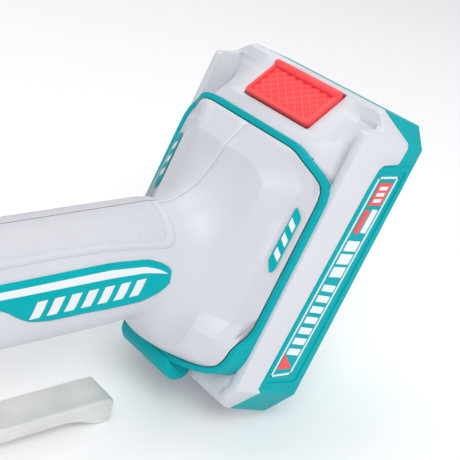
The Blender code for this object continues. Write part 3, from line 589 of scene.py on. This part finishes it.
# Outlines on the grip, as rows of (x, upper angle, lower angle).
PANEL = (
    (-137.0, 0.0, 30.0), (-135.5, 0.0, 46.0), (-132.0, 0.0, 50.0), (-98.0, 0.0, 51.0), (-79.0, 0.0, 51.0),
    (-61.0, 0.0, 53.0), (-46.0, 0.0, 58.5), (-39.4, 0.0, 61.5), (-37.2, 0.0, 62.0), (-36.0, 0.0, 60.0),
    (-34.8, 0.0, 54.0),
)
BADGE = (
    (-134.0, 78.0, 79.0), (-128.0, 71.0, 81.5), (-118.0, 66.5, 84.0), (-98.0, 65.0, 87.4),
    (-95.4, 65.0, 90.0), (-91.5, 65.0, 96.5), (-87.0, 65.0, 103.0), (-80.0, 65.0, 106.4),
    (-66.5, 65.0, 107.3), (-59.0, 65.2, 108.6), (-47.0, 68.6, 108.9), (-44.8, 69.7, 107.5),
    (-40.2, 75.4, 102.6), (-37.6, 80.0, 97.5), (-36.0, 85.0, 92.6),
)
STRIPE = (
    (-124.0, 75.5, 76.0), (-116.0, 73.0, 77.0), (-98.0, 71.7, 78.1), (-60.0, 71.8, 79.2),
    (-47.0, 75.2, 80.8), (-42.0, 79.6, 83.4), (-38.2, 85.0, 85.6),
)


def trimmed(table, angle, length):
    """An outline from the top of the grip, drawn in by an angle below and a length at its ends."""
    middle = (table[0][0] + table[-1][0]) / 2
    half = (table[-1][0] - table[0][0]) / 2
    return tuple((middle + (x - middle) * (half - length) / half, first, last - angle)
                 for x, first, last in table)


def badge_bar(name, side, x, width=3.6, first=85.5, last=98.0, lean=-2.4):
    """A plain slanted bar on a badge, in place of lettering."""
    rows = []
    for step in range(7):
        share = step / 6
        row = []
        for across in (0.0, width / 2, width):
            px, py, pz = shell_spot(x + across + lean * share, first + (last - first) * share, 0.86)
            row.append(tool((px, side * -py, pz)))
        rows.append(row)
    bm = bmesh.new()
    skin(bm, rows)
    piece(bm, name, "print_white", "tool", angle=60)


for side, word in ((-1, "left"), (1, "right")):
    border = leaf_columns(stations(PANEL[0][0], PANEL[-1][0], 60, 0.7), PANEL)
    grip_patch(word + "_grip_border", side, "soft_border", border, 0.15, 1.2,
               replaced=(word + "_grip_panel",))
    inner = trimmed(PANEL, 6.5, 3.4)
    field = leaf_columns(stations(inner[0][0], inner[-1][0], 56, 0.7), inner)
    grip_patch(word + "_grip_field", side, "soft_white", field, 1.15, 1.5, uv=True)
    leaf = leaf_columns(stations(BADGE[0][0], BADGE[-1][0], 56, 0.8), BADGE)
    grip_patch(word + "_badge_leaf", side, "teal_plastic", leaf, 0.1, 0.75, replaced=(word + "_badge",))
    stripe = leaf_columns(stations(STRIPE[0][0], STRIPE[-1][0], 40, 0.8), STRIPE)
    grip_patch(word + "_badge_stripe", side, "print_white", stripe, 0.76, 0.86, steps=6)
    for index in range(7):
        badge_bar(f"{word}_badge_bar_{index + 1}", side, -86.0 + index * 6.0)


# ---- foot trim band ----
TRIM_HEIGHT = 3.1
TRIM_STEP = 6.8  # how much higher the band runs along the trailing edge
TRIM_CORNER = 5.7  # how much taller it is at the leading corners


def trim_bottom(x):
    return TRIM_STEP * smooth(x, 14.9, 22.2)


def trim_top(x):
    return TRIM_HEIGHT + TRIM_CORNER * smooth(-x, *CORNER_RISE) + trim_bottom(x)


def outward(points, index):
    """Unit normal, outwards, of a mirrored half outline at one of its points."""
    before = points[index - 1] if index else (points[1][0], -points[1][1])
    after = points[index + 1] if index < len(points) - 1 else (points[-2][0], -points[-2][1])
    along = Vector((after[0] - before[0], after[1] - before[1])).normalized()
    turned_out = along.x <= 0 or along.y > 0
    return Vector((-along.y, along.x)) * (1 if turned_out else -1)


def trim_band():
    outline = foot_outline(22.2, 24.4, 14.9, 36.3, -43.7, 28.0, -56.5, 5.5)
    sections = []
    for index, (x, y) in enumerate(outline):
        low, high = trim_bottom(x), trim_top(x)
        normal = outward(outline, index)
        groove = low + min(0.9, (high - low) * 0.3)
        profile = (
            (-2.3, low + 0.2), (-0.5, low), (-0.05, low + 0.4), (-0.05, groove - 0.15), (-0.4, groove),
            (-0.05, groove + 0.15), (-0.05, high - 0.45), (-0.45, high), (-2.3, high),
        )
        sections.append([(x + normal.x * out, y + normal.y * out, z) for out, z in profile])
    mirrored = [[(x, -y, z) for x, y, z in section] for section in reversed(sections[1:-1])]
    rows = [[pack(point) for point in section] for section in sections + mirrored]
    bm = bmesh.new()
    skin(bm, rows + rows[:1], closed=True)
    piece(bm, "foot_trim_band", "teal_plastic", "tool", ("foot_trim",), angle=30)


trim_band()

BUMPER = (
    (-62.4, 9.6), (-66.5, 8.8), (-69.6, 6.2), (-70.6, 3.0), (-70.2, -1.0), (-68.0, -3.2), (-64.4, -3.4),
    (-62.4, -1.4),
)
bumper = prism(rounded(BUMPER, 1.2), -14.4, 14.4, on_side(1), pack, 1.0)
piece(bumper, "rest_bumper_block", "teal_plastic", "tool", ("rest_bumper",))


# ---- battery pack ----
# Rows of (x, half-width) or (x, height), from the leading end to the trailing end. RIM, MIDDLE, VALLEY and
# SHOULDER are heights at four places across the top and share the rounded leading end.
PACK_HALF = 39.95
PACK_WIDTH = ((-70.2, 31.2), (-69.8, 31.6), (-58.4, PACK_HALF), (39.5, PACK_HALF), (46.3, 33.0))
FRONT = ((-70.2, -12.0), (-69.4, -8.4), (-68.0, -4.8), (-66.2, -2.4))
LEVEL = (*FRONT, (-63.0, -0.9), (-61.0, -0.4))
RIM = (
    *FRONT, (-63.0, -0.3), (-60.0, 0.8), (-57.0, 1.0), (37.0, 1.0), (37.9, 0.2), (39.6, -6.3), (41.1, -7.3),
    (44.6, -8.0), (46.3, -9.9),
)
MIDDLE = (*LEVEL, (22.35, -0.4), (22.4, 6.3), (41.9, -7.1), (46.3, -10.1))
VALLEY = (
    *LEVEL, (14.6, -0.4), (16.5, -1.0), (18.5, -2.6), (20.2, -4.6), (23.0, -8.0), (38.3, -8.0), (41.1, -7.3),
    (44.6, -8.0), (46.3, -10.0),
)
SHOULDER = (*LEVEL, (15.0, -0.4), (16.5, 0.3), (18.5, 3.2), (20.2, 4.9), (22.36, 5.0))
SPLIT = (
    (-58.4, -12.1), (-56.8, -10.0), (20.2, -12.9), (27.9, -13.6), (30.0, -15.1), (31.7, -21.2),
    (32.4, -22.1), (38.0, -22.5), (39.5, -21.5), (46.3, -10.7),
)
STATIONS = (
    -70.2, -69.8, -69.4, -68.7, -68.0, -67.1, -66.2, -64.6, -63.0, -61.0, -60.0, -58.4, -57.0, -56.8, -40.0,
    -20.0, 0.0, 14.6, 15.0, 16.5, 18.5, 20.2, 22.35, 22.4, 27.9, 30.0, 31.7, 32.4, 35.0, 37.0, 37.9, 38.3,
    39.6, 41.1, 41.9, 43.5, 44.5, 44.6, 46.3,
)


def upper_case():
    """The white half of the pack: a loft of mirrored sections along the rails."""
    rows = []
    for x in STATIONS:
        w = between(x, PACK_WIDTH)[0]
        share = min(1.0, w / PACK_HALF)
        middle, valley, rim = between(x, MIDDLE)[0], between(x, VALLEY)[0], between(x, RIM)[0]
        facet = max(valley, middle - 2.0) if x > 22.36 else between(x, SHOULDER)[0]
        split = max(between(x, SPLIT)[0], -11.6 if x < -58.4 else -99)
        split = min(split, rim - 0.3)
        base = -10.9 if x > 44.55 else -30.0
        half = [
            (0.2, middle), (24.6 * share, middle), (28.4 * share, facet), (34.6 * share, valley),
            (36.2 * share, valley), (36.9 * share, rim), (w - 0.7, rim), (w, rim - 0.25), (w, split),
            (w - 1.7, split - 0.2), (w - 1.7, min(base, split - 0.3)),
        ]
        ring = half + [(-y, z) for y, z in reversed(half)]
        rows.append([pack((x, y, z)) for y, z in ring])
    bm = bmesh.new()
    skin(bm, rows, closed=True, caps=True)
    shell = piece(bm, "battery_upper_shell", "white_plastic", "battery", ("battery_upper_case",), angle=24)
    carve(shell, block((-75.0, -16.0, -5.4), (-57.0, 16.0, 6.0), pack, 0.8), "bumper_recess")
    carve(shell, block((-9.4, -17.4, -4.6), (9.6, 17.4, 6.0), button_spot, 0.8), "button_pocket")
    soften_edges(shell, 0.4)


RAMP = math.radians(35.01)
BUTTON_PLACE = (37.0, -3.6)


def button_spot(point):
    """A point given along the button's ramp, across it and off its face."""
    a, y, c = point
    return pack((BUTTON_PLACE[0] + a * math.cos(RAMP) + c * math.sin(RAMP), y,
                 BUTTON_PLACE[1] - a * math.sin(RAMP) + c * math.cos(RAMP)))


def lower_corners(inset):
    """Corners of the lower case's outline, all the way round."""
    trailing, leading = 46.1 - inset, -70.1 + inset
    return [
        (trailing, -33.6 + inset * 0.6), (39.4 - inset * 0.4, -39.4 + inset), (-58.2, -39.4 + inset),
        (leading, -31.4 + inset * 0.6), (leading, 31.4 - inset * 0.6), (-58.2, 39.4 - inset),
        (39.4 - inset * 0.4, 39.4 - inset), (trailing, 33.6 - inset * 0.6),
    ]


def lower_case():
    """The teal half of the pack, from the split line down to its rounded base."""
    corners = lower_corners(0)
    counts = [max(3, round((Vector(end) - Vector(start)).length / 1.6))
              for start, end in zip(corners, corners[1:] + corners[:1])]
    # inset, then either the drop below the split line or a fixed depth
    levels = (
        (1.4, None, -30.4), (1.4, 0.3, None), (0.4, 0.3, None), (0.0, 0.65, None), (0.0, None, -30.8),
        (0.35, None, -31.6), (1.1, None, -31.9),
    )
    rows = []
    for inset, drop, depth in levels:
        row = []
        corners = lower_corners(inset)
        for start, end, count in zip(corners, corners[1:] + corners[:1], counts):
            for step in range(count):
                x = start[0] + (end[0] - start[0]) * step / count
                y = start[1] + (end[1] - start[1]) * step / count
                z = depth if drop is None else (between(x, SPLIT)[0] if x > -58.4 else -11.8) - drop
                row.append(pack((x, y, z)))
        rows.append(row)
    bm = bmesh.new()
    skin(bm, rows, closed=True, caps=True)
    piece(bm, "battery_lower_shell", "teal_plastic", "battery", ("battery_lower_case",), angle=30)


upper_case()
lower_case()
rail = block((-46.0, -21.0, -1.5), (22.3, 21.0, 5.9), pack, 0.4, 2)
rail_block = piece(rail, "battery_rail_block", "white_plastic", "battery")
for side in (-1, 1):
    low, high = sorted((side * 18.4, side * 24.0))
    carve(rail_block, block((-50.0, low, 0.9), (21.0, high, 3.7), pack), f"rail_groove_{side + 2}")
for row, y in enumerate((-11.0, 0.0, 11.0)):
    carve(rail_block, block((-50.0, y - 1.2, 0.6), (-31.0, y + 1.2, 8.0), pack), f"terminal_slot_{row}")


# ---- side label ----
def label_frame(side):
    """The raised frame that the label sits in."""
    corners = [(28.7, -14.0), (33.2, -30.6), (-54.6, -30.0), (-56.8, -11.2)]
    pad = prism(rounded(corners, 2.2), 38.0, 39.72, on_side(side), pack, 0.3)
    panel = piece(pad, f"label_panel_{side + 2}", "teal_plastic", "battery", angle=25)
    inner = [(27.3, -15.2), (30.6, -28.6), (-52.8, -27.6), (-54.6, -12.4)]
    carve(panel, prism(rounded(inner, 1.6), 39.3, 42.0, on_side(side), pack), f"label_recess_{side + 2}")


def label_spot(a, b):
    """A place on the label: a runs along it towards the button end, b across it towards the pack's base."""
    start = (-52.0 + 1.9 * b, -13.4 - 9.6 * b)
    end = (25.9 + 2.3 * b, -16.3 - 9.8 * b)
    return (start[0] + (end[0] - start[0]) * a, start[1] + (end[1] - start[1]) * a)


def label_mark(name, corners, material, side, height=39.62):
    shape = [label_spot(a, b) for a, b in corners]
    bm = prism(shape, 39.2, height, on_side(side), pack)
    piece(bm, name, material, "battery", flat=True)


def slanted(a, width, low, high, lean=0.022):
    shift = lean * (high - low)
    return ((a, high), (a + width, high), (a + width + shift, low), (a + shift, low))


def label(side):
    """One side's label, with a thin white border."""
    word = "left" if side < 0 else "right"
    label_frame(side)
    rim_a, rim_b = 0.009, 0.065
    frames = (
        ((0, 0), (1, 0), (1, rim_b), (0, rim_b)),
        ((0, 1 - rim_b), (1, 1 - rim_b), (1, 1), (0, 1)),
        ((0, 0), (rim_a, 0), (rim_a, 1), (0, 1)),
        ((1 - rim_a, 0), (1, 0), (1, 1), (1 - rim_a, 1)),
    )
    for index, corners in enumerate(frames):
        label_mark(f"{word}_label_edge_{index + 1}", corners, "print_white", side)
    # A corner mark, plain bars and a battery sign stand in for the printing.
    label_mark(word + "_label_corner", ((0.035, 0.15), (0.115, 0.15), (0.035, 0.85)), "print_red", side)
    for index in range(7):
        bar = slanted(0.10 + index * 0.054, 0.032, 0.2, 0.84)
        label_mark(f"{word}_label_bar_{index + 1}", bar, "print_white", side)
    for index in range(3):
        bar = slanted(0.50 + index * 0.065, 0.05, 0.2, 0.84, 0.012)
        label_mark(f"{word}_label_block_{index + 1}", bar, "print_white", side)
    label_mark(word + "_label_stripe_1", slanted(0.72, 0.115, 0.2, 0.46), "print_red", side)
    label_mark(word + "_label_stripe_2", slanted(0.72, 0.115, 0.56, 0.84), "print_white", side)
    cell = ((0.86, 0.2), (0.97, 0.2), (0.97, 0.84), (0.86, 0.84))
    label_mark(word + "_label_cell", cell, "print_red", side)
    for index in range(3):
        a = 0.875 + index * 0.03
        level = ((a, 0.32), (a + 0.017, 0.32), (a + 0.017, 0.72), (a, 0.72))
        label_mark(f"{word}_label_charge_{index + 1}", level, "print_white", side, 39.68)


label(-1)
label(1)


# ---- release button ----
def release_button():
    outline = rounded([(-8.9, -16.9), (8.9, -16.9), (8.9, 16.9), (-8.9, 16.9)], 2.2)
    tray = prism(outline, -1.2, 1.5, flat_spot, button_spot, 0.5)
    plate = piece(tray, "release_tray", "red_plastic", "release", ("release_button",))
    field = rounded([(-7.2, -15.2), (6.4, -15.2), (6.4, 15.2), (-7.2, 15.2)], 1.5)
    carve(plate, prism(field, 0.1, 4.0, flat_spot, button_spot), "release_field")
    # The floor under the grid is painted a darker red, as shade in the pits between the ridges.
    floor_plate = block((-7.0, -15.0, 0.0), (6.2, 15.0, 0.42), button_spot)
    piece(floor_plate, "release_floor", "shaded_red", "release")
    roll = disc((7.2, 0, 1.1), 1.55, 33.4, (0, 1, 0), button_spot, 24, 0.4)
    piece(roll, "release_roll", "red_plastic", "release")
    # Diamond grid: crossing ridges with a triangular section.
    pitch_a, pitch_y = 3.4, 4.2
    rows = []
    steps_a, steps_y = 64, 128
    for i in range(steps_a + 1):
        a = -7.3 + 13.4 * i / steps_a
        row = []
        for j in range(steps_y + 1):
            y = -15.3 + 30.6 * j / steps_y
            ridges = []
            for sign in (-1, 1):
                phase = (a / pitch_a + sign * y / pitch_y) % 1.0
                ridges.append(1 - min(phase, 1 - phase) * 4.6)
            row.append(button_spot((a, y, 0.15 + 0.85 * max(0.0, *ridges))))
        rows.append(row)
    bm = bmesh.new()
    skin(bm, rows)
    # The ridges are painted a lighter red than the tray, as a highlight.
    piece(bm, "release_grid", "lit_grid_red", "release", angle=30)


release_button()

# ---- hand guard ----
GUARD = (
    (-45.6, -73.0), (-47.2, -71.3), (-188.0, -71.3), (-196.5, -69.4), (-202.6, -64.4), (-205.6, -57.4),
    (-207.0, -53.3), (-225.8, -53.3), (-225.8, -57.6), (-216.0, -60.6), (-211.5, -64.6), (-206.5, -71.0),
    (-200.0, -75.8), (-190.0, -77.2), (-64.0, -77.2), (-58.6, -78.4), (-54.0, -80.6), (-50.4, -81.5),
    (-47.4, -81.5), (-46.0, -80.0),
)
guard = prism(rounded(GUARD, 1.5, 3), -7.5, 7.5, on_side(1), tool, 1.1, 3)
guard_bar = piece(guard, "guard_bar", "cast_aluminium", "tool", ("hand_guard",), angle=30)
for index, x in enumerate((-221.8, -211.0)):
    carve(guard_bar, disc((x, 0, -70.0), 3.8, 26.0, (0, 0, 1)), f"counterbore_{index}")
    carve(guard_bar, disc((x, 0, -55.0), 2.1, 10.0, (0, 0, 1)), f"screw_way_{index}")


# ---- trigger spring ----
def trigger_spring():
    low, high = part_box("trigger_spring")
    wire, turns, steps, sides = 0.00035, 5.0, 120, 10  # wire radius in metres
    centre = (low + high) / 2
    radius = (high.x - low.x) / 2 - wire
    bottom, top = low.z + wire, high.z - wire
    rows = []
    for step in range(steps + 1):
        angle = 2 * math.pi * turns * step / steps
        out = Vector((math.cos(angle), math.sin(angle), 0))
        middle = Vector((centre.x, centre.y, bottom + (top - bottom) * step / steps)) + out * radius
        rows.append([middle + out * wire * math.cos(2 * math.pi * side / sides)
                     + Vector((0, 0, wire * math.sin(2 * math.pi * side / sides))) for side in range(sides)])
    bm = bmesh.new()
    skin(bm, rows, closed=True, caps=True)
    spring = piece(bm, "trigger_return_spring", "steel", "tool", ("trigger_spring",), angle=50)
    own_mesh(spring)


trigger_spring()


# ---- number badges on the foot ----
def number_badge(side):
    word = "left" if side < 0 else "right"
    shape = ((6.6, 31.7), (3.6, 34.7), (-15.8, 34.5), (-17.4, 33.4), (-13.5, 31.3))

    def strip(a, y, depth):
        return Vector((a, side * (y + depth * 0.45), 6.6 - (y - 29.9) * 0.45 + depth * 0.9))

    bm = prism(rounded(shape, 1.2), 0.05, 0.32, strip, pack)
    piece(bm, word + "_number_badge", "teal_plastic", "tool", angle=25)
    for index in range(3):
        a = -12.8 + index * 5.4
        bar = ((a, 34.1), (a + 2.6, 34.1), (a + 4.6, 32.0), (a + 2.0, 32.0))
        bm = prism(bar, 0.2, 0.4, strip, pack)
        piece(bm, f"{word}_number_bar_{index + 1}", "print_white", "tool", flat=True)


number_badge(-1)
number_badge(1)

# ---- CAD nodes that stay get the finish of their slot ----
NODE_SLOTS = {row["node"]: row["material_slot"] for row in frame["record"]["subparts"]}
for node_name, node in frame["nodes"].items():
    node.data.materials.clear()
    node.data.materials.append(MATERIALS[NODE_SLOTS[node_name]])

# ---- stage, camera and light ----
white_floor = surface("stage_floor", (0.985, 0.985, 0.985), 0.7, grain=0.03, grain_scale=400.0,
                      mottle=0.004, edge_highlight=0.0)
bpy.ops.mesh.primitive_plane_add(size=8, location=(0, 0, 0))
floor = bpy.context.object
floor.name = "studio_floor"
floor.data.materials.append(white_floor)

world = bpy.data.worlds.new("studio")
bpy.context.scene.world = world
world.use_nodes = True
world.node_tree.nodes["Background"].inputs["Color"].default_value = (0.96, 0.97, 1.0, 1)
world.node_tree.nodes["Background"].inputs["Strength"].default_value = 0.52


def area_light(name, place, target, size, power):
    light = bpy.data.lights.new(name, "AREA")
    light.size = size
    light.energy = power
    lamp = bpy.data.objects.new(name, light)
    lamp.location = place
    lamp.rotation_euler = (Vector(target) - Vector(place)).to_track_quat("-Z", "Y").to_euler()
    bpy.context.scene.collection.objects.link(lamp)


TARGET = (0.11, 0.0, 0.07)
area_light("key", (-0.35, -0.75, 0.95), TARGET, 0.7, 8.6)
area_light("fill", (0.9, -0.7, 0.5), TARGET, 0.8, 1.7)
area_light("top", (0.1, 0.5, 1.2), TARGET, 0.9, 5.0)

camera_data = bpy.data.cameras.new("camera")
camera_data.lens = 82.17
camera_data.sensor_width = 36.0
camera_data.clip_start = 0.01
camera = bpy.data.objects.new("camera", camera_data)
bpy.context.scene.collection.objects.link(camera)
right = Vector((0.7749, -0.6077, 0.1741))
up = Vector((0.1498, 0.4442, 0.8833))
forward = Vector((0.6141, 0.6584, -0.4352))
turn = Matrix((right, up, -forward)).transposed().to_4x4()
camera.matrix_world = Matrix.Translation(CAMERA_PLACE) @ turn
bpy.context.scene.camera = camera

bpy.context.scene.view_settings.view_transform = "Standard"
